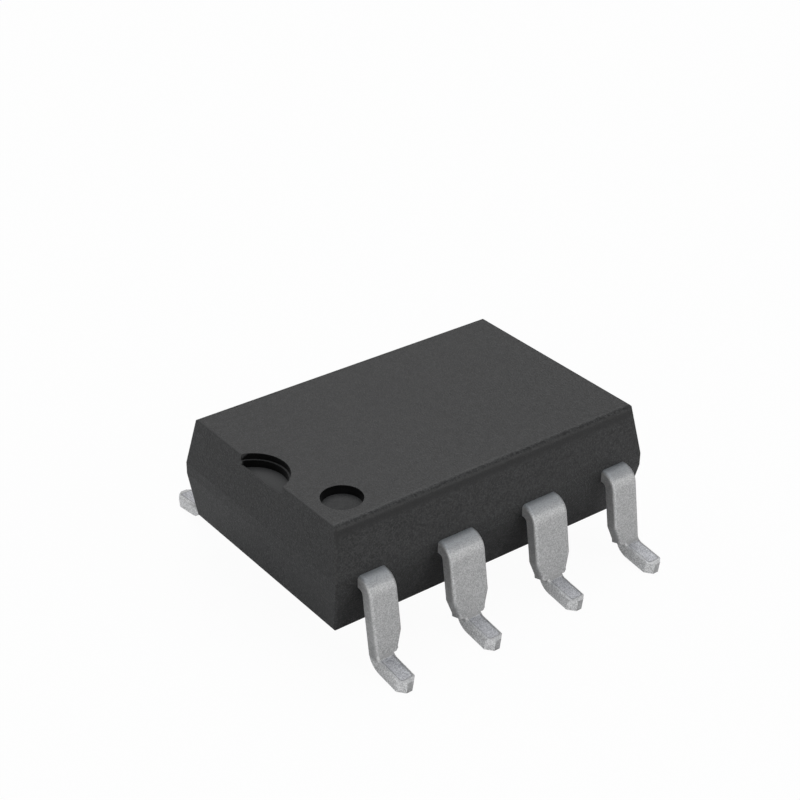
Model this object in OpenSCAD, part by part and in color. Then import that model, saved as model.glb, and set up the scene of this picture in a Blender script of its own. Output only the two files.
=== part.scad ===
// Eight-lead chip in a moulded body with gull-wing leads on a 2.54 mm pitch.
// Millimetres. The feet stand on z = 0, X runs along the body with the pin 1 end at -X,
// and pins 1 to 4 are on the -Y side. The +Y row is the -Y row turned half a turn.

/* [Moulded body] */
// Length at the parting line
body_length = 9.28; // [9.1:0.02:9.8]
// Width at the parting line
body_width = 6.34; // [6.2:0.02:6.5]
// Height of the underside over the board
standoff = 0.86; // [0.7:0.02:1]
// Depth of the lower half, from the underside to the middle of the lead frame
lower_depth = 1.32; // [1.2:0.02:1.5]
// Height of the upper half, from the middle of the lead frame to the top
upper_depth = 1.46; // [1.4:0.02:1.8]
// Draft of the long sides, in degrees
side_draft = 12; // [8:0.5:14]
// Draft of the ends above the parting band, in degrees
end_draft_above = 8; // [5:0.5:12]
// Draft of the ends below the parting band, in degrees
end_draft_below = 6; // [4:0.5:12]
// Radius of the long top edges
top_edge_radius = 0.18; // [0.08:0.01:0.3]
// Radius of the end top edges and of the bottom edges
small_edge_radius = 0.05; // [0.03:0.01:0.08]
// Depth to which the upright corner edges are cut flat
corner_cut = 0.03; // [0.02:0.01:0.06]

/* [Orientation marks] */
// Radius of the notch in the pin 1 end
notch_radius = 0.91; // [0.7:0.01:1.2]
// Distance of the notch's centre outside the parting line of that end
notch_centre_out = 0.11; // [0:0.01:0.2]
// Depth of the notch's upper step
notch_ledge_depth = 0.16; // [0.1:0.01:0.2]
// Width of the ledge between the notch's two steps
notch_ledge_width = 0.05; // [0.03:0.01:0.12]
// Depth of the notch's sill at the end face, over which its floor lies lower
notch_sill_depth = 0.26; // [0.22:0.01:0.3]
// Width of that sill
notch_sill_width = 0.02; // [0.01:0.01:0.05]
// Whole depth of the notch
notch_depth = 0.35; // [0.32:0.01:0.45]
// Diameter of the pin 1 dimple at the top
dimple_diameter = 1; // [0.6:0.02:1.2]
// Depth of the pin 1 dimple
dimple_depth = 0.21; // [0.1:0.01:0.35]
// Draft of the dimple's wall, in degrees
dimple_draft = 8; // [3:1:12]
// Distance of the dimple's centre from the parting line of the pin 1 end
dimple_from_end = 1; // [0.9:0.01:1.2]
// Distance of the dimple's centre from the parting line of its long side
dimple_from_side = 1.17; // [1.1:0.01:1.4]

/* [Leads] */
// Distance between neighbouring leads
pitch = 2.54; // [2.5:0.01:2.58]
// Thickness of the lead frame
lead_thickness = 0.31; // [0.25:0.01:0.36]
// Width of a lead's shoulder
shoulder_width = 1.04; // [0.9:0.01:1.2]
// Width of the neck at the lower end of the shoulder
neck_width = 0.78; // [0.65:0.01:0.85]
// Width of a foot
foot_width = 0.5; // [0.42:0.01:0.56]
// Distance over the toes of both rows
toe_span = 9.64; // [9.4:0.02:10]
// Straight run of a lead outside the body, before its upper bend
root_run = 0.06; // [0.04:0.01:0.1]
// Inner radius of the upper bend
upper_bend_radius = 0.12; // [0.1:0.01:0.18]
// Outward lean of the legs, in degrees
leg_lean = 9.5; // [4:0.5:11]
// Inner radius of the heel bend
heel_radius = 0.14; // [0.1:0.01:0.18]
// Downward slope of the feet towards the toes, in degrees
foot_slope = 7.5; // [3:0.5:9]
// Length down the leg over which the shoulder tapers to the neck
taper_length = 0.39; // [0.3:0.01:0.5]
// Straight length of the neck over the heel bend
neck_length = 0.03; // [0.02:0.01:0.1]
// Angle of the heel bend through which the neck keeps its width, in degrees
neck_wrap = 8; // [4:1:12]
// Chamfer of each toe corner, seen from above
toe_chamfer = 0.17; // [0.08:0.01:0.2]
// Rounding of the outer edges, which the punch rolls over. The inner edges stay sharp.
rolled_radius = 0.09; // [0.04:0.01:0.12]

/* [Lead frame inside the body] */
// Length of the die paddle, along X
paddle_length = 3.3; // [3:0.1:3.4]
// Width of the die paddle, along Y
paddle_width = 2.2; // [2:0.1:2.4]
// Gap between the paddle and the tips of the fingers
finger_gap = 0.4; // [0.35:0.05:0.5]
// Width of a middle finger at its tip
middle_tip_width = 0.7; // [0.6:0.05:0.9]
// Width of an end finger at its tip
end_tip_width = 0.8; // [0.6:0.05:0.9]
// Width of the strip that carries the paddle on lead 4
carrier_width = 0.55; // [0.4:0.05:0.6]

/* [Die and bond wires] */
// Length of the die, along X
die_length = 1.9; // [1.6:0.1:2.4]
// Width of the die, along Y
die_width = 1.4; // [1.2:0.1:1.6]
// Thickness of the die
die_thickness = 0.28; // [0.2:0.02:0.3]
// Thickness of the adhesive under the die
attach_thickness = 0.04; // [0.03:0.01:0.06]
// Rim of adhesive that shows round the die
attach_rim = 0.1; // [0.05:0.01:0.15]
// Inset of the bond pads from the die's edges
pad_inset = 0.14; // [0.1:0.01:0.2]
// Diameter of the bond wires
wire_diameter = 0.05; // [0.04:0.005:0.06]
// Height of the wire loops over the die
loop_height = 0.24; // [0.2:0.01:0.3]
// Diameter of the ball at the die end of a wire
ball_diameter = 0.11; // [0.1:0.01:0.14]
// Height of that ball
ball_height = 0.04; // [0.03:0.005:0.05]

/* [Hidden] */

$fn = 48;
// Steps round the corners of a lead's section and round its bends
edge_steps = 24;
bend_steps = 96;
// Length by which a cutting shape passes the face that it cuts
over = 0.5;

mould_colour = [0.13, 0.13, 0.14];
lead_colour = [0.63, 0.63, 0.64];
die_colour = [0.35, 0.37, 0.42];
attach_colour = [0.72, 0.72, 0.68];
wire_colour = [0.86, 0.68, 0.26];

// Leads in each of the two rows
row_leads = 4;
// The pin whose lead is stamped in one piece with the paddle
carrier_pin = 4;

// Heights over the board: middle and upper face of the lead frame, and the top of the body
frame_z = standoff + lower_depth;
half_t = lead_thickness / 2;
frame_top = frame_z + half_t;
top_z = frame_z + upper_depth;
attach_top = frame_top + attach_thickness;
die_top = attach_top + die_thickness;

// Half sizes
wall_x = body_length / 2;
wall_y = body_width / 2;
paddle_x = paddle_length / 2;
paddle_y = paddle_width / 2;
row_half_length = (row_leads - 1) / 2 * pitch;
shoulder_half = shoulder_width / 2;
neck_half = neck_width / 2;
foot_half = foot_width / 2;

// Depth behind the wall to which a lead keeps its rounded section, and the depth at which the
// square-edged finger takes over inside it
section_depth = 0.3;
finger_depth = 0.15;
// Length over which a finger narrows to its tip
finger_taper = 0.7;

// Centre line of a lead's strip: distances outwards from the middle of the body, and heights
upper_radius = upper_bend_radius + half_t;
heel_bend_radius = heel_radius + half_t;
upper_centre = [wall_y + root_run, frame_z - upper_radius];
leg_way = [sin(leg_lean), -cos(leg_lean)];
leg_out = [cos(leg_lean), sin(leg_lean)];
foot_way = [cos(foot_slope), -sin(foot_slope)];
foot_up = [sin(foot_slope), cos(foot_slope)];
leg_top = upper_centre + upper_radius * leg_out;
// The toe's upper corner is at the toe span, and its lower corner stands on the board
toe_end = [toe_span / 2 - half_t * sin(foot_slope), half_t * cos(foot_slope)];
// The leg and the foot fill the way from the upper bend to the toe, less what the heel takes
straight_way = toe_end - leg_top - heel_bend_radius * (leg_out - foot_up);
turn_of_both = leg_way[0] * foot_way[1] - leg_way[1] * foot_way[0];
leg_length = (straight_way[0] * foot_way[1] - straight_way[1] * foot_way[0]) / turn_of_both;
foot_length = (leg_way[0] * straight_way[1] - leg_way[1] * straight_way[0]) / turn_of_both;
// Depths along the leg between which the shoulder tapers, and the taper's slant in degrees
taper_end = leg_length - neck_length;
taper_start = taper_end - taper_length;
taper_slant = atan((shoulder_half - neck_half) / taper_length);
// Angles of the two bends
upper_turn = 90 - leg_lean;
heel_turn = 90 - leg_lean - foot_slope;
// Each bend is drawn from both its ends, past its middle by this share of its angle in all
bend_share = 0.6;

// Facets round a bond wire, and steps along it
wire_sides = 8;
wire_steps = 10;
// Rise of the loop's first control point, in loop heights, and place of the second along the wire
loop_rise = 1.6;
loop_lean = 0.75;
pad_x = die_length / 2 - pad_inset;
pad_y = die_width / 2 - pad_inset;

// Body

// Half outline of the body across one direction, from the underside to the top, with a straight
// parting band as high as the lead frame is thick
function drafted_half(half, draft_below, draft_above) = [
    [half - (lower_depth - half_t) * tan(draft_below), standoff],
    [half, frame_z - half_t],
    [half, frame_z + half_t],
    [half - (upper_depth - half_t) * tan(draft_above), top_z]
];

function mirrored(points) = [for (i = [len(points) - 1:-1:0]) [-points[i][0], points[i][1]]];

// That outline on both sides, with arcs that meet the underside, the top and the drafted walls
module rounded_outline(half, draft_below, draft_above, radius_below, radius_above) {
    sharp = drafted_half(half, draft_below, draft_above);
    reach_below = radius_below * tan((90 - draft_below) / 2);
    reach_above = radius_above * tan((90 - draft_above) / 2);
    bottom_x = sharp[0][0] - reach_below;
    top_x = sharp[3][0] - reach_above;
    points = [
        [bottom_x, standoff],
        sharp[0] + reach_below * [sin(draft_below), cos(draft_below)],
        sharp[1],
        sharp[2],
        sharp[3] + reach_above * [sin(draft_above), -cos(draft_above)],
        [top_x, top_z]
    ];
    polygon(concat(points, mirrored(points)));
    for (side = [-1, 1]) {
        translate([side * bottom_x, standoff + radius_below]) circle(radius_below);
        translate([side * top_x, top_z - radius_above]) circle(radius_above);
    }
}

module end_outline() {
    rounded_outline(
        wall_x, end_draft_below, end_draft_above, small_edge_radius, small_edge_radius
    );
}

module side_outline() {
    rounded_outline(wall_y, side_draft, side_draft, small_edge_radius, top_edge_radius);
}

// The outline across two opposite upright corner edges, which lean inwards by both drafts
module corner_outline() {
    half = (wall_x + wall_y) / sqrt(2) - corner_cut;
    below = atan((tan(end_draft_below) + tan(side_draft)) / sqrt(2));
    above = atan((tan(end_draft_above) + tan(side_draft)) / sqrt(2));
    points = drafted_half(half, below, above);
    polygon(concat(points, mirrored(points)));
}

module moulded_form() {
    length = body_length + body_width;
    intersection() {
        rotate([90, 0, 0]) linear_extrude(length, center = true) end_outline();
        rotate([90, 0, 90]) linear_extrude(length, center = true) side_outline();
        rotate([90, 0, 45]) linear_extrude(length, center = true) corner_outline();
        rotate([90, 0, -45]) linear_extrude(length, center = true) corner_outline();
    }
}

// Outline of the notch's lower step along X, from its centre and the top. Its floor rises at
// 45 degrees to the sill at the end face.
module notch_outline() {
    face_x = notch_centre_out + (upper_depth - half_t - notch_sill_depth) * tan(end_draft_above);
    sill_end = face_x + notch_sill_width;
    floor_start = sill_end + notch_depth - notch_sill_depth;
    polygon([
        [-notch_radius, over], [-notch_radius, -notch_sill_depth], [sill_end, -notch_sill_depth],
        [floor_start, -notch_depth], [notch_radius, -notch_depth], [notch_radius, over]
    ]);
}

module notch() {
    translate([-wall_x - notch_centre_out, 0, top_z]) {
        translate([0, 0, -notch_ledge_depth]) cylinder(h = over, r = notch_radius);
        intersection() {
            translate([0, 0, -over]) cylinder(h = 2 * over, r = notch_radius - notch_ledge_width);
            rotate([90, 0, 0]) linear_extrude(2 * notch_radius, center = true) notch_outline();
        }
    }
}

module dimple() {
    rim = dimple_diameter / 2;
    slope = tan(dimple_draft);
    height = dimple_depth + over;
    floor_radius = rim - dimple_depth * slope;
    translate([dimple_from_end - wall_x, dimple_from_side - wall_y, top_z - dimple_depth])
        cylinder(h = height, r1 = floor_radius, r2 = floor_radius + height * slope);
}

module package_body() {
    color(mould_colour)
        difference() {
            moulded_form();
            notch();
            dimple();
            for (pin = [1:2 * row_leads]) {
                in_row(pin) lead_inside(pin);
                bond_wire_form(pin);
            }
            die_form();
            attach_form();
        }
}

// Leads
// A lead is drawn for the -Y row. Its strip runs outwards and down, its width along X.

// 1 for a lead at the left end of its row, 4 for one at the right end
function place_in_row(pin) = (pin - 1) % row_leads + 1;
function lead_x(pin) = (place_in_row(pin) - (row_leads + 1) / 2) * pitch;
function is_left_end(pin) = place_in_row(pin) == 1;
function is_right_end(pin) = place_in_row(pin) == row_leads;
function is_end(pin) = is_left_end(pin) || is_right_end(pin);
function row_turn(pin) = pin > row_leads ? 180 : 0;
// The outer side of an end lead stays straight, at the foot's width
function left_half(pin, half) = is_left_end(pin) ? foot_half : half;
function right_half(pin, half) = is_right_end(pin) ? foot_half : half;

module in_row(pin) {
    rotate([0, 0, row_turn(pin)]) translate([lead_x(pin), 0, 0]) children();
}

// Section across the strip, from -left to right of the lead's centre line. Its outer face, with
// the rolled edges, looks along +Y for an outward of 1 and along -Y for -1.
module strip_section(left, right, outward = 1) {
    width = left + right;
    flat_width = width - 2 * rolled_radius;
    flat_height = lead_thickness - rolled_radius;
    translate([-left + rolled_radius, -half_t]) square([flat_width, lead_thickness]);
    translate([-left, -outward * rolled_radius / 2 - flat_height / 2]) square([width, flat_height]);
    for (x = [-left + rolled_radius, right - rolled_radius])
        translate([x, outward * (half_t - rolled_radius)])
            circle(rolled_radius, $fn = edge_steps);
}

// Straight strip from the origin outwards, along -Y
module level_run(length, left, right) {
    rotate([90, 0, 0]) linear_extrude(length) strip_section(left, right);
}

// Straight strip from the origin down, along -Z
module upright_run(length, left, right) {
    rotate([180, 0, 0]) linear_extrude(length) strip_section(left, right);
}

// Bend about X. Angles count from straight down, by way of the body's side. The strip's outer
// face looks towards the bend's axis for an inward of 1 and away from it for -1.
module bend(radius, from_angle, to_angle, left, right, inward) {
    rotate([0, 90, 0])
        rotate_extrude(angle = to_angle - from_angle, start = from_angle, $fn = bend_steps)
            translate([radius, 0]) rotate(90) strip_section(left, right, inward);
}

// Wide strip down the leg with its one rolled edge on the given side, slanted as the shoulder's
// taper is. The edge leaves the shoulder's width at the depth at which the taper starts.
module taper_strip(side) {
    reach = leg_length + shoulder_width;
    left = side > 0 ? reach : 0;
    right = side > 0 ? 0 : reach;
    translate([side * shoulder_half, 0, -taper_start])
        rotate([0, side * taper_slant, 0])
            translate([0, 0, reach]) upright_run(2 * reach, left, right);
}

// The leg down to its neck. It ends inside the neck, which starts inside it.
module shoulder(pin) {
    end = taper_end + rolled_radius;
    left = left_half(pin, shoulder_half);
    right = right_half(pin, shoulder_half);
    if (is_left_end(pin))
        intersection() {
            upright_run(end, left, right);
            taper_strip(1);
        }
    else if (is_right_end(pin))
        intersection() {
            upright_run(end, left, right);
            taper_strip(-1);
        }
    else
        intersection() {
            upright_run(end, left, right);
            taper_strip(1);
            taper_strip(-1);
        }
}

// The neck, which keeps its width a little way into the heel bend
module neck(pin) {
    start = taper_end - rolled_radius;
    left = left_half(pin, neck_half);
    right = right_half(pin, neck_half);
    translate([0, 0, -start]) upright_run(leg_length - start, left, right);
    translate([0, -heel_bend_radius, -leg_length])
        bend(heel_bend_radius, 90 - neck_wrap, 90, left, right, 1);
}

// Plan of a foot from the heel bend to the toe, whose corners are cut off
module foot_outline() {
    polygon([
        [-foot_width, over], [-foot_width, toe_chamfer - foot_length],
        [-foot_half, toe_chamfer - foot_length], [toe_chamfer - foot_half, -foot_length],
        [foot_half - toe_chamfer, -foot_length], [foot_half, toe_chamfer - foot_length],
        [foot_width, toe_chamfer - foot_length], [foot_width, over]
    ]);
}

// The level foot, under the centre of the heel bend
module foot() {
    translate([0, 0, -heel_bend_radius])
        intersection() {
            level_run(foot_length + over, foot_half, foot_half);
            linear_extrude(2 * lead_thickness, center = true) foot_outline();
        }
}

// The upright leg, out from the centre of the upper bend, with its parts of both bends
module leg(pin) {
    left = left_half(pin, shoulder_half);
    right = right_half(pin, shoulder_half);
    bend(upper_radius, 270 - bend_share * upper_turn, 270, left, right, -1);
    translate([0, -upper_radius, 0]) {
        shoulder(pin);
        neck(pin);
        translate([0, -heel_bend_radius, -leg_length])
            bend(heel_bend_radius, 90 - bend_share * heel_turn, 90, foot_half, foot_half, 1);
    }
}

module lead_outside(pin) {
    left = left_half(pin, shoulder_half);
    right = right_half(pin, shoulder_half);
    translate([0, -upper_centre[0], upper_centre[1]]) {
        bend(upper_radius, 180, 180 + bend_share * upper_turn, left, right, -1);
        rotate([-leg_lean, 0, 0]) {
            leg(pin);
            translate([0, -upper_radius - heel_bend_radius, -leg_length])
                rotate([leg_lean + foot_slope, 0, 0]) {
                    bend(heel_bend_radius, 0, bend_share * heel_turn, foot_half, foot_half, 1);
                    foot();
                }
        }
    }
}

// Plan of a middle finger: straight in from the wall to a narrower tip
module middle_finger() {
    tip_half = middle_tip_width / 2;
    root = wall_y - finger_depth;
    tip = paddle_y + finger_gap;
    neck = tip + finger_taper;
    polygon([
        [-shoulder_half, -root], [-shoulder_half, -neck], [-tip_half, -tip],
        [tip_half, -tip], [shoulder_half, -neck], [shoulder_half, -root]
    ]);
}

// Plan of the finger of a lead at the left end: in from the wall, then across to the paddle's end
module end_finger(carries_paddle) {
    root = wall_y - finger_depth;
    tip_x = row_half_length - paddle_x - finger_gap;
    near = paddle_y;
    far = paddle_y - end_tip_width;
    knee_in = paddle_y + finger_gap + finger_taper;
    knee_out = knee_in - end_tip_width;
    polygon([
        [-foot_half, -root], [-foot_half, -knee_out], [tip_x - end_tip_width, -far],
        [tip_x, -far], [tip_x, -near], [shoulder_half, -knee_in], [shoulder_half, -root]
    ]);
    if (carries_paddle)
        translate([tip_x - end_tip_width / 2, -(near + far + carrier_width) / 2])
            square([finger_gap + end_tip_width, carrier_width]);
}

module paddle() {
    translate([-paddle_x, -paddle_y]) square([paddle_length, paddle_width]);
}

// The part of a lead that the body holds, and its straight run out of the wall
module lead_inside(pin) {
    left = left_half(pin, shoulder_half);
    right = right_half(pin, shoulder_half);
    translate([0, section_depth - wall_y, frame_z])
        level_run(section_depth + root_run, left, right);
    translate([0, 0, frame_z - half_t])
        linear_extrude(lead_thickness) {
            if (is_left_end(pin)) end_finger(false);
            else if (is_right_end(pin)) mirror([1, 0]) end_finger(pin == carrier_pin);
            else middle_finger();
            if (pin == carrier_pin) translate([-lead_x(pin), 0]) paddle();
        }
}

module lead(pin) {
    color(lead_colour)
        in_row(pin) {
            lead_inside(pin);
            lead_outside(pin);
        }
}

// Die and its adhesive

module attach_form() {
    size = [die_length + 2 * attach_rim, die_width + 2 * attach_rim];
    translate([0, 0, frame_top]) linear_extrude(attach_thickness) square(size, center = true);
}

module die_form() {
    translate([0, 0, attach_top])
        linear_extrude(die_thickness) square([die_length, die_width], center = true);
}

module die_attach() {
    color(attach_colour) attach_form();
}

module die() {
    color(die_colour) die_form();
}

// Bond wires
// Each wire leaves a ball on the die, loops over and comes down on its finger's tip.

function side_sign(pin) = is_left_end(pin) || place_in_row(pin) == 2 ? -1 : 1;
// Bond pad on the die and landing on the finger, for the -Y row
function pad_point(pin) = is_end(pin)
    ? [side_sign(pin) * pad_x, -pad_y / 2]
    : [side_sign(pin) * pad_x / 2, -pad_y];
function landing_point(pin) = is_end(pin)
    ? [side_sign(pin) * (paddle_x + finger_gap + end_tip_width / 3), -paddle_y + end_tip_width / 2]
    : [lead_x(pin), -paddle_y - finger_gap - middle_tip_width / 3];

function bezier(p, t) = pow(1 - t, 3) * p[0] + 3 * t * pow(1 - t, 2) * p[1]
    + 3 * t * t * (1 - t) * p[2] + pow(t, 3) * p[3];
function bezier_way(p, t) = 3 * (pow(1 - t, 2) * (p[1] - p[0]) + 2 * t * (1 - t) * (p[2] - p[1])
    + t * t * (p[3] - p[2]));

// Control points of the loop as distance along the wire's plan and height
function loop_points(reach) = [
    [0, die_top + ball_height / 2], [0, die_top + loop_height * loop_rise],
    [reach * loop_lean, die_top + loop_height], [reach, frame_top - wire_diameter]
];

// Points round the wire, square to its way
function wire_ring(centre, way) = [
    for (i = [0:wire_sides - 1])
        let (
            a = (i + 0.5) * 360 / wire_sides,
            out = wire_diameter / 2 * cos(a) / norm(way),
            side = wire_diameter / 2 * sin(a)
        )
            [centre[0] - way[1] * out, side, centre[1] + way[0] * out]
];

module wire_tube(reach) {
    p = loop_points(reach);
    rings = [
        for (k = [0:wire_steps])
            let (t = k / wire_steps) wire_ring(bezier(p, t), bezier_way(p, t))
    ];
    points = [for (ring = rings) each ring];
    walls = [
        for (k = [0:wire_steps - 1], i = [0:wire_sides - 1])
            let (a = k * wire_sides + i, b = k * wire_sides + (i + 1) % wire_sides)
                each [[a, b, b + wire_sides], [a, b + wire_sides, a + wire_sides]]
    ];
    first_cap = [for (i = [wire_sides - 1:-1:0]) i];
    last_cap = [for (i = [0:wire_sides - 1]) wire_steps * wire_sides + i];
    polyhedron(points, concat(walls, [first_cap, last_cap]));
}

module bond_wire_form(pin) {
    pad = pad_point(pin);
    way = landing_point(pin) - pad;
    rotate([0, 0, row_turn(pin)])
        translate([pad[0], pad[1], 0]) {
            translate([0, 0, die_top]) cylinder(h = ball_height, d = ball_diameter);
            intersection() {
                rotate([0, 0, atan2(way[1], way[0])]) wire_tube(norm(way));
                translate([0, 0, frame_top])
                    linear_extrude(upper_depth) square(2 * pitch, center = true);
            }
        }
}

module bond_wire(pin) {
    color(wire_colour) bond_wire_form(pin);
}

package_body();
lead(1);  // lead_1
lead(2);  // lead_2
lead(3);  // lead_3
lead(4);  // lead_4
lead(5);  // lead_5
lead(6);  // lead_6
lead(7);  // lead_7
lead(8);  // lead_8
die_attach();
die();
bond_wire(1);  // bond_wire_1
bond_wire(2);  // bond_wire_2
bond_wire(3);  // bond_wire_3
bond_wire(4);  // bond_wire_4
bond_wire(5);  // bond_wire_5
bond_wire(6);  // bond_wire_6
bond_wire(7);  // bond_wire_7
bond_wire(8);  // bond_wire_8
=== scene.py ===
"""Dresses a moulded gull-wing chip package and lights it on a pale studio floor.

The package comes from the frame at its real size, in metres, with its feet on z = 0. This script
gives the moulding, the tinned leads and the sealed inner pieces their finishes, and sets the
camera and the studio round them.
"""

import logging
import math
from dataclasses import dataclass
from enum import Enum
from typing import Any

import bpy
from mathutils import Matrix, Vector


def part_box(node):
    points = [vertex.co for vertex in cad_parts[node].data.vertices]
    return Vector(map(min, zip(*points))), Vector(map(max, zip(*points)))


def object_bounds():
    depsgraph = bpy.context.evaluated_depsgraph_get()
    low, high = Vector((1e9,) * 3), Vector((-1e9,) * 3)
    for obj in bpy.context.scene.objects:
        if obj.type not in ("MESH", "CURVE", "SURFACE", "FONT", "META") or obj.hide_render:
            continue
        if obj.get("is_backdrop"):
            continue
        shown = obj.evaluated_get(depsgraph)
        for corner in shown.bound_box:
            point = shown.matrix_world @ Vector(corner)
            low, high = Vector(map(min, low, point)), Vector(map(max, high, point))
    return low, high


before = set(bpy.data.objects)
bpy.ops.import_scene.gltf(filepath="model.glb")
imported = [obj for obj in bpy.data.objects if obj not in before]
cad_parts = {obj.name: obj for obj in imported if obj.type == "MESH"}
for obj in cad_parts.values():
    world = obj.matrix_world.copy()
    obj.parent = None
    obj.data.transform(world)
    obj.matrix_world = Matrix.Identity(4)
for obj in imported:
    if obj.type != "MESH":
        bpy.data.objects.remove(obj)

Pair = tuple[float, float]
Colour = tuple[float, float, float]

MM = 0.001
MICRON = 0.000001
BODY = "package_body"
WHITE = (1.0, 1.0, 1.0, 1.0)
NOISE_MEAN = 0.5

# What the two ends of a range become, for a mark that grows or fades along it.
RISING: Pair = (0.0, 1.0)
FALLING: Pair = (1.0, 0.0)

log = logging.getLogger("package")


def grey(tone: float) -> Colour:
    """A colour without any hue."""
    return (tone, tone, tone)


class Axis(Enum):
    """An axis of the package, as its index in a vector: X along the body, Y across it, Z up."""

    X = 0
    Y = 1
    Z = 2


class Socket:
    """An output socket, or a number, on which plain arithmetic adds Math nodes."""

    def __init__(self, recipe: "Recipe", source: Any) -> None:
        """Wraps a source, for the recipe whose nodes the arithmetic joins."""
        self.recipe = recipe
        self.source = source

    def _math(self, operation: str, *others: Any, first: bool = True) -> "Socket":
        """Adds one Math node.

        Args:
            operation: The node's operation.
            others: The other values, as sockets or numbers.
            first: False if this socket comes after the others.

        Returns:
            The node's result.
        """
        values = [self, *others] if first else [*others, self]
        inputs = dict(enumerate(values))
        return self.recipe.node("ShaderNodeMath", {"operation": operation}, inputs)

    def __add__(self, other: Any) -> "Socket":
        """Adds a value."""
        return self._math("ADD", other)

    def __radd__(self, other: Any) -> "Socket":
        """Adds to a value."""
        return self._math("ADD", other)

    def __sub__(self, other: Any) -> "Socket":
        """Takes a value away."""
        return self._math("SUBTRACT", other)

    def __rsub__(self, other: Any) -> "Socket":
        """Is taken away from a value."""
        return self._math("SUBTRACT", other, first=False)

    def __mul__(self, other: Any) -> "Socket":
        """Multiplies by a value."""
        return self._math("MULTIPLY", other)

    def __rmul__(self, other: Any) -> "Socket":
        """Multiplies a value."""
        return self._math("MULTIPLY", other)

    def __abs__(self) -> "Socket":
        """The size of the value, without its sign."""
        return self._math("ABSOLUTE")

    def fraction(self) -> "Socket":
        """What the value has above the whole number below it."""
        return self._math("FRACT")

    def power(self, exponent: float) -> "Socket":
        """The value raised to a power."""
        return self._math("POWER", exponent)

    def least(self, other: Any) -> "Socket":
        """The smaller of this and another value."""
        return self._math("MINIMUM", other)

    def most(self, other: Any) -> "Socket":
        """The larger of this and another value."""
        return self._math("MAXIMUM", other)

    def soft_most(self, other: Any, reach: float) -> "Socket":
        """The larger of this and another value, rounded where they are less than reach apart."""
        return self._math("SMOOTH_MAX", other, reach)

    def above(self, limit: float) -> "Socket":
        """1 where the value is above a limit, and 0 elsewhere."""
        return self._math("GREATER_THAN", limit)


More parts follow.
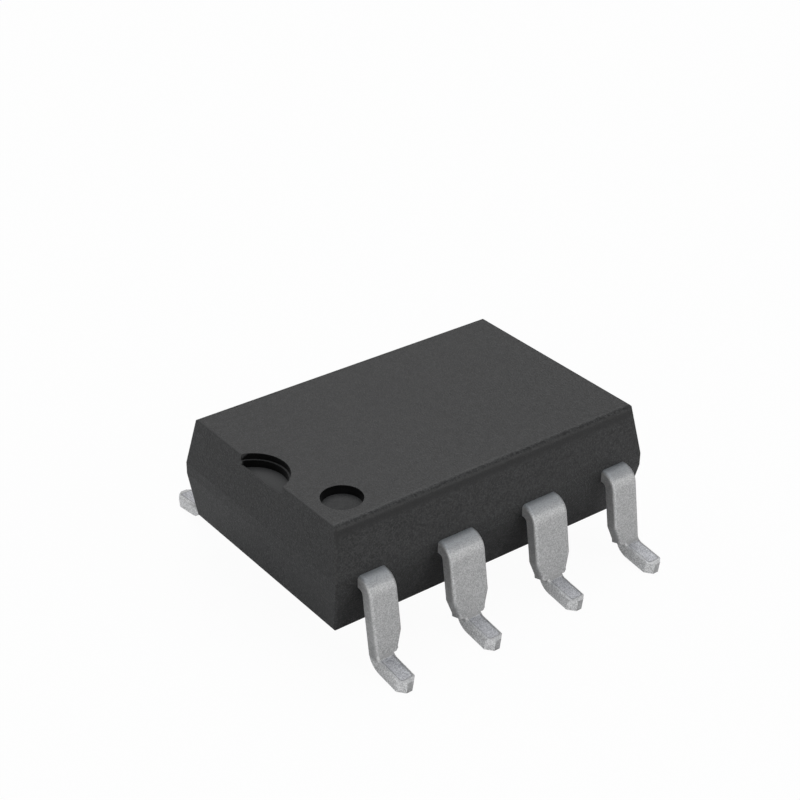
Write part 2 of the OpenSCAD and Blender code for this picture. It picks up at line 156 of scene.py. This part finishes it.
class Recipe:
    """The node tree of one material, or of the sky, built step by step."""

    def __init__(self, home: bpy.types.Material | bpy.types.World) -> None:
        """Empties the nodes of a material or of a world.

        Args:
            home: The material or world whose nodes are built.
        """
        self.home = home
        home.use_nodes = True
        self.tree = home.node_tree
        self.tree.nodes.clear()

    @property
    def place(self) -> Socket:
        """The object's own coordinates."""
        return self.node("ShaderNodeTexCoord", output="Object")

    @property
    def facing(self) -> Socket:
        """The surface's normal."""
        return self.node("ShaderNodeNewGeometry", output="Normal")

    def seen_by(self) -> tuple[Socket, Socket]:
        """Who looks at the surface.

        Returns:
            1 for the camera's rays, and 1 for rays of reflections and refractions.
        """
        camera, glossy, through = (
            self.node("ShaderNodeLightPath", output=f"Is {kind} Ray")
            for kind in ("Camera", "Glossy", "Transmission")
        )
        return camera, glossy.most(through)

    def node(
        self,
        kind: str,
        settings: dict[str, Any] | None = None,
        inputs: dict[Any, Any] | None = None,
        output: Any = 0,
    ) -> Socket:
        """Adds a node of any kind.

        Args:
            kind: The node's type.
            settings: Its own settings, which are set first.
            inputs: Values or sockets by the name or number of the input they go to.
            output: The name or number of the output that is returned.

        Returns:
            The chosen output.
        """
        made = self.tree.nodes.new(kind)
        for key, value in (settings or {}).items():
            setattr(made, key, value)
        for key, value in (inputs or {}).items():
            source = value.source if isinstance(value, Socket) else value
            if isinstance(source, bpy.types.NodeSocket):
                self.tree.links.new(source, made.inputs[key])
            else:
                made.inputs[key].default_value = source
        return Socket(self, made.outputs[output] if made.outputs else None)

    def part(self, vector: Socket, axis: Axis) -> Socket:
        """The part of a vector along one axis, as a value."""
        return self.node("ShaderNodeSeparateXYZ", {}, {0: vector}, axis.value)

    def at(self, axis: Axis) -> Socket:
        """How far along an axis a point of the surface is, in object coordinates."""
        return self.part(self.place, axis)

    def sideways(self, axis: Axis, span: Pair, to: Pair = RISING) -> Socket:
        """How squarely the surface faces along an axis, either way, as band gives it."""
        return self.band(abs(self.part(self.facing, axis)), span, to)

    def upward(self, span: Pair, to: Pair = RISING) -> Socket:
        """How squarely the surface faces up, as band gives it."""
        return self.band(self.part(self.facing, Axis.Z), span, to)

    def stretched(self, factors: tuple[float, float, float]) -> Socket:
        """Object coordinates multiplied by a factor along each axis."""
        settings = {"operation": "MULTIPLY"}
        return self.node("ShaderNodeVectorMath", settings, {0: self.place, 1: factors})

    def distance(self, centre: Pair) -> Socket:
        """Distance from an upright line, in object coordinates.

        Args:
            centre: Where the line crosses the floor.

        Returns:
            The distance.
        """
        level = self.stretched((1.0, 1.0, 0.0))
        inputs = {0: level, 1: (*centre, 0.0)}
        return self.node("ShaderNodeVectorMath", {"operation": "DISTANCE"}, inputs, "Value")

    def noise(
        self,
        size: float,
        detail: float = 2.0,
        roughness: float = 0.5,
        place: Socket | None = None,
    ) -> Socket:
        """Soft random mottling.

        Args:
            size: The size of its patches, in metres.
            detail: How many finer layers it has.
            roughness: How strong the finer layers are.
            place: Other coordinates than the object's own.

        Returns:
            A value round 0.5.
        """
        inputs = {
            "Vector": place or self.place,
            "Scale": 1 / size,
            "Detail": detail,
            "Roughness": roughness,
        }
        return self.node("ShaderNodeTexNoise", {}, inputs)

    def cells(self, size: float) -> Socket:
        """Distance to the nearest of many random points, in their mean distance, size."""
        inputs = {"Vector": self.place, "Scale": 1 / size}
        return self.node("ShaderNodeTexVoronoi", {}, inputs, "Distance")

    def band(self, value: Socket, span: Pair, to: Pair = RISING) -> Socket:
        """Takes a value smoothly from one range to another, and holds it at the ends.

        Args:
            value: The value.
            span: Where the range starts and ends.
            to: What the start and the end become.

        Returns:
            The new value.
        """
        settings = {"interpolation_type": "SMOOTHSTEP"}
        inputs = {
            "Value": value,
            "From Min": span[0],
            "From Max": span[1],
            "To Min": to[0],
            "To Max": to[1],
        }
        return self.node("ShaderNodeMapRange", settings, inputs)

    def blend(self, amount: Socket, under: Socket | Colour, over: Socket | Colour) -> Socket:
        """Mixes two colours.

        Args:
            amount: How much of the second shows.
            under: The first colour.
            over: The second colour.

        Returns:
            The mixed colour.
        """
        settings = {"data_type": "RGBA", "clamp_factor": True}
        inputs = {0: amount, 6: self._colour(under), 7: self._colour(over)}
        return self.node("ShaderNodeMix", settings, inputs, 2)

    @staticmethod
    def _colour(value: Any) -> Any:
        """A colour with its alpha, or any other value as it is."""
        return (*value, 1.0) if isinstance(value, tuple) else value

    def bump(self, height: Socket, depth: float) -> Socket:
        """The normal of a relief whose height runs from 0 to 1, depth metres in all."""
        return self.node("ShaderNodeBump", {}, {"Height": height, "Distance": depth})

    def surface(self, **inputs: Any) -> bpy.types.Material:
        """Ends the recipe with its shader.

        Args:
            inputs: Inputs of the Principled shader, with _ for each space in a name.

        Returns:
            The finished material.
        """
        named = {key.replace("_", " "): self._colour(value) for key, value in inputs.items()}
        shader = self.node("ShaderNodeBsdfPrincipled", {}, named)
        self.node("ShaderNodeOutputMaterial", {}, {"Surface": shader})
        return self.home


@dataclass(frozen=True)
class Recess:
    """A round recess in the top: the mould's polished pin leaves its steep wall smooth."""

    centre: Pair
    ring: Pair

    def wall(self, r: Recipe) -> Socket:
        """1 in the ring that holds the recess's wall, and 0 elsewhere."""
        distance = r.distance(self.centre)
        return distance.above(self.ring[0]) * (1 - distance.above(self.ring[1]))

    def inside(self, r: Recipe) -> Socket:
        """1 within the recess's rim, and 0 elsewhere."""
        return 1 - r.distance(self.centre).above(self.ring[1])


@dataclass(frozen=True)
class MouldCompound:
    """Black filled epoxy with the fine matte grain of an eroded mould.

    A share says how much of a pattern or tone is laid on. A facing says how squarely a surface
    looks one way, 1 being squarely, where a mark starts and where it is full.
    """

    resin: Colour = grey(0.0005)
    filler: Colour = grey(0.034)
    grain: float = 48 * MICRON
    grain_depth: float = 7 * MICRON
    grain_span: Pair = (0.4, 0.6)
    grain_share: float = 0.5
    mottle_grains: float = 2.2
    mottle_share: float = 0.7
    cloud_grains: float = 40.0
    cloud_share: float = 0.1
    fleck_span: Pair = (0.15, 0.4)
    fleck_share: float = 0.4
    fleck_height: float = 0.4
    roughness: float = 0.52
    grain_roughness: float = 0.2
    fleck_gloss: float = 0.06

    # Near-black painted shade on the recess walls, which are also truly smooth, and in the strip
    # below the long sides' upper edges.
    polished: Colour = grey(0.0005)
    polished_roughness: float = 0.1
    # Painted light: a paler tone that lights the recess floors evenly up to their walls, more on
    # the deeper notch floor.
    sunk: Colour = grey(0.046)
    sunk_roughness: float = 0.8
    sunk_share: float = 0.55
    deep_share: float = 0.4
    deep: float = 0.3 * MM
    rim: float = 0.02 * MM
    level_facing: float = 0.5
    recess_depth: float = 0.37 * MM
    notch_beyond_end: float = 0.11 * MM
    notch_ring: Pair = (0.81 * MM, 0.95 * MM)
    dimple_from_corner: Pair = (1.0 * MM, 1.17 * MM)
    dimple_ring: Pair = (0.42 * MM, 0.55 * MM)
    chamfer_end: float = 0.19 * MM

    # Painted shade in a strip below the long sides' rounded upper edges.
    edge_shade_from: Pair = (0.04 * MM, 0.12 * MM)
    edge_shade_to: Pair = (0.18 * MM, 0.36 * MM)
    edge_shade_facing: Pair = (0.3, 0.6)
    edge_shade_share: float = 0.9
    # Painted light on the upper edges of the two ends.
    wear_and_painted_light: Colour = grey(0.04)
    edge_light_outward: Pair = (0.2, 0.4)
    edge_light_upward: Pair = (0.3, 0.5)

    def material(self) -> bpy.types.Material:
        """Builds the finish.

        Returns:
            The material.
        """
        r = Recipe(bpy.data.materials.new("mould_compound"))
        grain = r.noise(self.grain, detail=1.0)
        flecks = r.band(r.cells(self.grain), self.fleck_span, FALLING)
        wall, sunk = self.recessed(r)
        deep = 1 - r.at(Axis.Z).above(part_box(BODY)[1][2] - self.deep)
        # Painted light on the recess floors, stronger on the deeper notch floor.
        pale = sunk * (self.sunk_share + self.deep_share * deep)
        plain = r.blend(self.shade(r, grain, flecks), self.resin, self.filler)
        # Painted shade in a strip below the long sides' upper edges.
        plain = r.blend(self.painted_edge_shade(r), plain, self.polished)
        # Painted light on the upper edges of the two ends.
        plain = r.blend(self.end_edge(r), plain, self.wear_and_painted_light)
        # Painted shade on the recess walls.
        colour = r.blend(wall, r.blend(pale, plain, self.sunk), self.polished)
        matte = self.roughness + self.grain_roughness * (grain - NOISE_MEAN)
        matte = matte - self.fleck_gloss * flecks
        matte = matte * (1 - sunk) + self.sunk_roughness * sunk
        relief = (grain + self.fleck_height * flecks) * (1 - wall)
        return r.surface(
            Base_Color=colour,
            Roughness=matte * (1 - wall) + self.polished_roughness * wall,
            Normal=r.bump(relief, self.grain_depth),
        )

    def shade(self, r: Recipe, grain: Socket, flecks: Socket) -> Socket:
        """How much filler shows at the surface.

        Args:
            r: The recipe that asks.
            grain: The fine grain.
            flecks: The single grains of filler.

        Returns:
            0 for bare resin, and 1 for filler.
        """
        clouds = r.noise(self.cloud_grains * self.grain)
        mottle = r.noise(self.mottle_grains * self.grain, detail=1.0) - NOISE_MEAN
        fine = r.band(grain, self.grain_span, (0.0, self.grain_share))
        coarse = self.cloud_share * clouds + self.mottle_share * mottle
        return coarse + fine + self.fleck_share * flecks

    def recessed(self, r: Recipe) -> tuple[Socket, Socket]:
        """Where the notch and the dimple are.

        Args:
            r: The recipe that asks.

        Returns:
            1 on their polished walls, which take painted shade, and 1 on their floors, which
            take painted light.
        """
        low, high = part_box(BODY)
        notch = Recess((low[0] - self.notch_beyond_end, 0.0), self.notch_ring)
        along, across = self.dimple_from_corner
        dimple = Recess((low[0] + along, low[1] + across), self.dimple_ring)
        flat = abs(r.part(r.facing, Axis.Z)).above(self.level_facing)
        height = r.at(Axis.Z)
        near_top = height.above(high[2] - self.recess_depth)
        inboard = r.at(Axis.X).above(low[0] + self.chamfer_end)
        wall = (1 - flat) * near_top * inboard * (notch.wall(r) + dimple.wall(r)).least(1.0)
        below_rim = near_top * (1 - height.above(high[2] - self.rim))
        floor = flat * below_rim * (notch.inside(r) + dimple.inside(r)).least(1.0)
        return wall, floor

    def painted_edge_shade(self, r: Recipe) -> Socket:
        """Where painted shade darkens the long sides below their rounded upper edges.

        Args:
            r: The recipe that asks.

        Returns:
            Most in the middle of the strip, fading to 0.
        """
        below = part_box(BODY)[1][2] - r.at(Axis.Z)
        strip = r.band(below, self.edge_shade_from) * r.band(below, self.edge_shade_to, FALLING)
        return strip * r.sideways(Axis.Y, self.edge_shade_facing, (0.0, self.edge_shade_share))

    def end_edge(self, r: Recipe) -> Socket:
        """1 where painted light lightens the upper edges of the two ends, and 0 elsewhere."""
        return r.sideways(Axis.X, self.edge_light_outward) * r.upward(self.edge_light_upward)


@dataclass(frozen=True)
class FootTop:
    """A tone laid on the flat of each foot's top, with painted shade in a fine dark line round
    it.
    """

    pitch: float = 2.54 * MM
    half_width: float = 0.165 * MM
    from_toe: float = 0.13 * MM
    corner: float = 0.12 * MM
    # A fine dark line of painted shade round the flat, along the foot's top edges.
    line_half: Pair = (0.0066 * MM, 0.022 * MM)
    line: Colour = grey(0.18)
    line_share: float = 0.5
    pale: Colour = (0.62, 0.625, 0.66)
    dark: Colour = (0.24, 0.245, 0.28)
    flat_tone_share: float = 0.5
    facing: Pair = (0.7, 0.9)
    highest: float = 0.9 * MM

    def outward(self, r: Recipe) -> Socket:
        """Distance from the line, in the plane of the floor.

        The leads' middles stand at odd halves of a pitch, where the fraction is a half.

        Args:
            r: The recipe that asks.

        Returns:
            The distance, below 0 on the flat.
        """
        across = abs((r.at(Axis.X) * (1 / self.pitch)).fraction() - 1 / 2)
        sideways = across * self.pitch - self.half_width
        endways = abs(r.at(Axis.Y)) - (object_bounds()[1][1] - self.from_toe)
        return sideways.soft_most(endways, self.corner)

    def over(self, r: Recipe, colour: Socket, speckle: Socket) -> Socket:
        """Lays the flat and its line over a lead's colour.

        Args:
            r: The recipe that asks.
            colour: The lead's colour.
            speckle: Its fine grain, from 0 to 1.

        Returns:
            The colour with both.
        """
        outward = self.outward(r)
        top = r.upward(self.facing) * (1 - r.at(Axis.Z).above(self.highest))
        flat = (1 - outward.above(0.0)) * top
        line = r.band(abs(outward), self.line_half, FALLING) * top
        flat_tone = r.blend(speckle, self.pale, self.dark)
        colour = r.blend(self.flat_tone_share * flat, colour, flat_tone)
        # Painted shade in a fine line round the flat.
        return r.blend(self.line_share * line, colour, self.line)


@dataclass(frozen=True)
class TinPlate:
    """Dull grainy tin plating on stamped strip, a little darker where it was sheared.

    Shares and facings are meant as in the moulding's finish.
    """

    tin: Colour = grey(0.60)
    dull: Colour = grey(0.40)
    grain: float = 30 * MICRON
    grain_depth: float = 1.5 * MICRON
    mottle_grains: float = 8.0
    mottle_share: float = 0.12
    tone_span: Pair = (0.35, 0.65)
    roughness: float = 0.62
    mottle_roughness: float = 0.1
    grain_roughness: float = 0.15

    sheared: Colour = grey(0.42)
    sheared_share: float = 0.5
    sheared_facing: Pair = (0.8, 0.97)
    streak_detail: float = 2.0
    streak_roughness: float = 0.6
    streak_stretch: tuple[float, float, float] = (1.0, 0.3, 1.0)

    # Painted light on the foot sides and a painted highlight on the rolled edges above them.
    painted_light_tin: Colour = grey(0.95)
    foot_height: Pair = (0.315 * MM, 0.45 * MM)
    foot_side_facing: Pair = (0.3, 0.6)
    rolled_from: Pair = (0.2, 0.4)
    rolled_to: Pair = (0.7, 0.9)
    rolled_share: float = 0.3

    # Painted shade, with a bluish painted reflection, on the leads' tops next to the moulding.
    root_shade_colour: Colour = (0.30, 0.32, 0.34)
    root_shade_share: float = 0.7
    root_shade_reach: float = 0.6 * MM
    root_shade_facing: Pair = (0.3, 0.8)

    # Painted shade in the inner bend of the heel.
    heel_shade_colour: Colour = grey(0.27)
    heel_shade_share: float = 0.7
    crease_height: float = 0.9 * MM
    crease_from: Pair = (0.2, 0.5)
    crease_to: Pair = (0.8, 0.95)
    crease_side_facing: Pair = (0.2, 0.5)

    foot_top: FootTop = FootTop()

    def material(self) -> bpy.types.Material:
        """Builds the finish.

        Returns:
            The material.
        """
        r = Recipe(bpy.data.materials.new("tinned_lead"))
        grain = r.noise(self.grain, detail=1.0)
        mottle = r.noise(self.mottle_grains * self.grain, detail=3.0)
        stretched = r.stretched(self.streak_stretch)
        streaks = r.noise(self.grain, self.streak_detail, self.streak_roughness, stretched)
        side = r.sideways(Axis.X, self.sheared_facing)
        both = (1 - self.mottle_share) * grain + self.mottle_share * mottle
        speckle = r.band(both, self.tone_span, FALLING)
        plated = r.blend(speckle, self.tin, self.dull)
        cut = r.blend(r.band(streaks, self.tone_span), self.sheared, self.tin)
        # Painted light on the foot sides and a painted highlight on the rolled edges.
        wear_and_painted_light = r.blend(speckle, self.painted_light_tin, self.tin)
        colour = r.blend(self.sheared_share * side, plated, cut)
        colour = r.blend(self.painted_side_light(r), colour, wear_and_painted_light)
        # Painted shade, with a bluish painted reflection, on the leads' tops next to the
        # moulding.
        colour = r.blend(self.root_shade_share * self.painted_root_shade(r), colour, self.root_shade_colour)
        # Painted shade in the inner bend of the heel.
        colour = r.blend(self.heel_shade_share * self.painted_heel_shade(r), colour, self.heel_shade_colour)
        uneven = self.mottle_roughness * (mottle - NOISE_MEAN)
        uneven = uneven + self.grain_roughness * (grain - NOISE_MEAN)
        return r.surface(
            Base_Color=self.foot_top.over(r, colour, speckle),
            Metallic=1.0,
            Roughness=self.roughness + uneven,
            Normal=r.bump(grain * (1 - side) + streaks * side, self.grain_depth),
        )

    def painted_side_light(self, r: Recipe) -> Socket:
        """Where painted light brightens the plating.

        Args:
            r: The recipe that asks.

        Returns:
            1 on the sides of the foot, less on the rolled edges above it, and 0 elsewhere.
        """
        foot = r.band(r.at(Axis.Z), self.foot_height, FALLING)
        foot_sides = foot * r.sideways(Axis.X, self.foot_side_facing)
        rolled = r.sideways(Axis.X, self.rolled_from, (0.0, self.rolled_share))
        return foot_sides.most(rolled * r.sideways(Axis.X, self.rolled_to, FALLING))

    def painted_root_shade(self, r: Recipe) -> Socket:
        """Where painted shade, with a bluish painted reflection, darkens the lead's top next to
        the moulding.

        Args:
            r: The recipe that asks.

        Returns:
            1 at the root's upper face, fading outward to 0.
        """
        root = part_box(BODY)[1][1]
        near = r.band(abs(r.at(Axis.Y)), (root, root + self.root_shade_reach), FALLING)
        return near * r.upward(self.root_shade_facing)

    def painted_heel_shade(self, r: Recipe) -> Socket:
        """Where painted shade darkens the inner bend of the heel.

        Args:
            r: The recipe that asks.

        Returns:
            1 on the slanting faces of the bend, and 0 elsewhere.
        """
        slanting = r.upward(self.crease_from) * r.upward(self.crease_to, FALLING)
        inner = r.sideways(Axis.X, self.crease_side_facing, FALLING)
        height = r.at(Axis.Z)
        above_foot = height.above(self.foot_height[1]) * (1 - height.above(self.crease_height))
        return slanting * inner * above_foot


@dataclass(frozen=True)
class SilverAdhesive:
    """Dull cured adhesive full of silver flakes."""

    paste: Colour = (0.46, 0.45, 0.43)
    flake: Colour = (0.74, 0.73, 0.70)
    flake_size: float = 25 * MICRON
    flake_span: Pair = (0.25, 0.5)
    flake_height: float = 3 * MICRON
    flake_metal: float = 0.5
    flake_gloss: float = 0.2
    roughness: float = 0.62

    def material(self) -> bpy.types.Material:
        """Builds the finish.

        Returns:
            The material.
        """
        r = Recipe(bpy.data.materials.new("silver_adhesive"))
        flakes = r.band(r.cells(self.flake_size), self.flake_span, FALLING)
        return r.surface(
            Base_Color=r.blend(flakes, self.paste, self.flake),
            Metallic=self.flake_metal * flakes,
            Roughness=self.roughness - self.flake_gloss * flakes,
            Normal=r.bump(flakes, self.flake_height),
        )


@dataclass(frozen=True)
class Silicon:
    """Polished blue-grey silicon with faint blocks of circuitry on its upper face."""

    bare: Colour = (0.10, 0.11, 0.14)
    block: Colour = (0.24, 0.22, 0.30)
    metal: Colour = (0.48, 0.46, 0.40)
    block_size: float = 0.16 * MM
    block_height: float = 1 * MICRON
    wire_size: float = 12 * MICRON
    wire_span: Pair = (0.52, 0.6)
    wire_share: float = 0.5
    top_facing: Pair = (0.6, 0.9)
    top_metal: float = 0.35
    top_gloss: float = 0.1
    wire_roughness: float = 0.1
    roughness: float = 0.3

    def material(self) -> bpy.types.Material:
        """Builds the finish.

        Returns:
            The material.
        """
        r = Recipe(bpy.data.materials.new("silicon"))
        up = r.upward(self.top_facing)
        settings = {"distance": "CHEBYCHEV"}
        inputs = {"Vector": r.place, "Scale": 1 / self.block_size}
        tone = r.part(r.node("ShaderNodeTexVoronoi", settings, inputs, "Color"), Axis.X)
        fine = r.noise(self.wire_size, detail=1.0)
        wiring = r.band(fine, self.wire_span, (0.0, self.wire_share))
        circuit = r.blend(wiring, r.blend(tone, self.bare, self.block), self.metal)
        return r.surface(
            Base_Color=r.blend(up, self.bare, circuit),
            Metallic=self.top_metal * up,
            Roughness=self.roughness - self.top_gloss * up + self.wire_roughness * wiring,
            Normal=r.bump(tone * up, self.block_height),
        )


@dataclass(frozen=True)
class GoldWire:
    """Bright drawn gold with faint lines along the draw."""

    gold: Colour = (0.88, 0.62, 0.22)
    wear_and_painted_light: Colour = (0.74, 0.50, 0.18)
    line_size: float = 6 * MICRON
    line_depth: float = 0.4 * MICRON
    line_span: Pair = (0.4, 0.65)
    line_share: float = 0.8
    line_roughness: float = 0.2
    roughness: float = 0.16

    def material(self) -> bpy.types.Material:
        """Builds the finish.

        Returns:
            The material.
        """
        r = Recipe(bpy.data.materials.new("gold_wire"))
        lines = r.noise(self.line_size)
        drawn = r.band(lines, self.line_span, (0.0, self.line_share))
        return r.surface(
            Base_Color=r.blend(drawn, self.gold, self.wear_and_painted_light),
            Metallic=1.0,
            Roughness=self.roughness + self.line_roughness * lines,
            Normal=r.bump(lines, self.line_depth),
        )


def put_on(material: bpy.types.Material, *names: str) -> None:
    """Dresses pieces of the package.

    Args:
        material: The material that they share.
        names: The pieces' names.
    """
    for name in names:
        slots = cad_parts[name].data.materials
        slots.clear()
        slots.append(material)
        log.info("dressed %s", name)


@dataclass
class Moulding:
    """The moulded body."""

    finish: MouldCompound = MouldCompound()

    def dress(self) -> None:
        """Gives the body its finish."""
        put_on(self.finish.material(), BODY)


@dataclass
class LeadFrame:
    """The leads, one of them in one piece with the die's paddle."""

    leads: int = 8
    plating: TinPlate = TinPlate()

    def dress(self) -> None:
        """Gives the leads their plating."""
        put_on(self.plating.material(), *(f"lead_{n + 1}" for n in range(self.leads)))


@dataclass
class SealedDie:
    """The die with its adhesive and bond wires, all inside the moulding."""

    wires: int = 8
    adhesive: SilverAdhesive = SilverAdhesive()
    silicon: Silicon = Silicon()
    gold: GoldWire = GoldWire()

    def dress(self) -> None:
        """Gives the sealed pieces their finishes."""
        put_on(self.adhesive.material(), "die_attach")
        put_on(self.silicon.material(), "die")
        put_on(self.gold.material(), *(f"bond_wire_{n + 1}" for n in range(self.wires)))


@dataclass
class PhotoCamera:
    """The camera at the photograph's place, found by fitting the package's corners and leads."""

    azimuth: float = -37.716
    elevation: float = 30.114
    roll: float = 0.768
    distance: float = 42.888 * MM
    aim_height: float = 2.76 * MM
    aim_right: float = -0.375 * MM
    aim_up: float = 1.044 * MM
    focal_pixels: float = 1753.04
    image_width: int = 800
    sensor: float = 36.0
    nearest: float = 1 * MM
    farthest: float = 10.0

    def axes(self) -> tuple[Vector, Vector, Vector]:
        """The camera's own axes.

        Returns:
            Right, up and back, as unit vectors.
        """
        a, e, r = (math.radians(v) for v in (self.azimuth, self.elevation, self.roll))
        back = Vector((math.sin(a) * math.cos(e), -math.cos(a) * math.cos(e), math.sin(e)))
        level = Vector((math.cos(a), math.sin(a), 0))
        upright = back.cross(level)
        right = level * math.cos(r) + upright * math.sin(r)
        up = upright * math.cos(r) - level * math.sin(r)
        return right, up, back

    def build(self) -> None:
        """Makes the camera and sets it as the scene's."""
        right, up, back = self.axes()
        aim = Vector((0, 0, self.aim_height)) + self.aim_right * right + self.aim_up * up
        data = bpy.data.cameras.new("camera")
        data.sensor_width = self.sensor
        data.lens = self.focal_pixels * self.sensor / self.image_width
        data.clip_start = self.nearest
        data.clip_end = self.farthest
        camera = bpy.data.objects.new("camera", data)
        turn = Matrix((right, up, back)).transposed().to_4x4()
        camera.matrix_world = Matrix.Translation(aim + self.distance * back) @ turn
        bpy.context.scene.collection.objects.link(camera)
        bpy.context.scene.camera = camera
        log.info("placed the camera")


@dataclass(frozen=True)
class SoftLight:
    """A broad soft light of the studio, half as bright at half_width degrees from its middle.

    Azimuth 0 is in front of pins 1 to 4, and 90 is beyond the end opposite the notch.
    """

    azimuth: float
    elevation: float
    strength: float
    half_width: float
    tint: Colour = grey(1.0)

    def shader(self, r: Recipe, way: Socket) -> Socket:
        """Makes the light's share of the sky.

        Args:
            r: The sky's recipe.
            way: The direction of each part of the sky.

        Returns:
            A shader that glows round the light's middle.
        """
        a, e = math.radians(self.azimuth), math.radians(self.elevation)
        middle = (math.sin(a) * math.cos(e), -math.cos(a) * math.cos(e), math.sin(e))
        settings = {"operation": "DOT_PRODUCT"}
        near = r.node("ShaderNodeVectorMath", settings, {0: way, 1: middle}, "Value").most(0.0)
        falloff = math.log(0.5) / math.log(math.cos(math.radians(self.half_width)))
        glow = self.strength * near.power(falloff)
        return r.node("ShaderNodeBackground", {}, {"Color": (*self.tint, 1.0), "Strength": glow})


@dataclass
class Studio:
    """A pale floor under broad soft lights, both white where the camera sees them."""

    floor_size: float = 1.2
    floor_colour: Colour = grey(0.72)
    floor_glow: float = 0.96
    floor_glow_in_reflections: float = 0.33
    shadow_reach: Pair = (10 * MM, 26 * MM)
    sky_fill: float = 0.04
    lights: tuple[SoftLight, ...] = (
        SoftLight(145, 60, 4.9, 17),
        SoftLight(0, 90, 0.7, 17, (0.84, 0.96, 1.14)),
        SoftLight(-144, 32, 1.6, 13),
        SoftLight(-65, 6, 1.2, 12.5),
        SoftLight(-45, 25, 3.3, 12.5),
        SoftLight(-60, 15, 0.8, 24),
        SoftLight(30, 25, 3.9, 15),
    )

    def build(self) -> None:
        """Makes the floor and the sky."""
        self.build_floor()
        self.build_sky()
        bpy.context.scene.view_settings.view_transform = "Standard"
        log.info("built the studio")

    def build_floor(self) -> None:
        """Makes the floor, which looks white and keeps a faint shadow."""
        half = self.floor_size / 2
        mesh = bpy.data.meshes.new("floor")
        corners = [(-half, -half, 0), (half, -half, 0), (half, half, 0), (-half, half, 0)]
        mesh.from_pydata(corners, [], [(0, 1, 2, 3)])
        floor = bpy.data.objects.new("floor", mesh)
        bpy.context.scene.collection.objects.link(floor)
        mesh.materials.append(self.floor_material())
        floor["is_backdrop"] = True

    def floor_material(self) -> bpy.types.Material:
        """The floor's paper, white to the camera, and white in reflections beyond the shadow.

        Returns:
            The material.
        """
        material = bpy.data.materials.new("floor_paper")
        r = Recipe(material)
        paper = r.node("ShaderNodeBsdfDiffuse", {}, {"Color": (*self.floor_colour, 1.0)})
        white = r.node("ShaderNodeEmission", {}, {"Color": WHITE, "Strength": 1.0})
        camera, mirrored = r.seen_by()
        open_floor = r.band(r.distance((0.0, 0.0)), self.shadow_reach)
        glow = self.floor_glow * camera + self.floor_glow_in_reflections * mirrored * open_floor
        both = r.node("ShaderNodeMixShader", {}, {0: glow, 1: paper, 2: white})
        r.node("ShaderNodeOutputMaterial", {}, {"Surface": both})
        return material

    def build_sky(self) -> None:
        """Makes a world of soft lights that looks white to the camera."""
        world = bpy.data.worlds.new("sky")
        bpy.context.scene.world = world
        r = Recipe(world)
        way = r.node("ShaderNodeTexCoord", output="Generated")
        sky = r.node("ShaderNodeBackground", {}, {"Color": WHITE, "Strength": self.sky_fill})
        for light in self.lights:
            sky = r.node("ShaderNodeAddShader", {}, {0: sky, 1: light.shader(r, way)})
        white = r.node("ShaderNodeBackground", {}, {"Color": WHITE})
        camera, _ = r.seen_by()
        seen = r.node("ShaderNodeMixShader", {}, {0: camera, 1: sky, 2: white})
        r.node("ShaderNodeOutputWorld", {}, {"Surface": seen})


def main() -> None:
    """Builds the scene in order."""
    logging.basicConfig(level=logging.INFO, format="%(message)s")
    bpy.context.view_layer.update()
    PhotoCamera().build()
    Moulding().dress()
    LeadFrame().dress()
    SealedDie().dress()
    Studio().build()


if __name__ == "__main__":
    main()
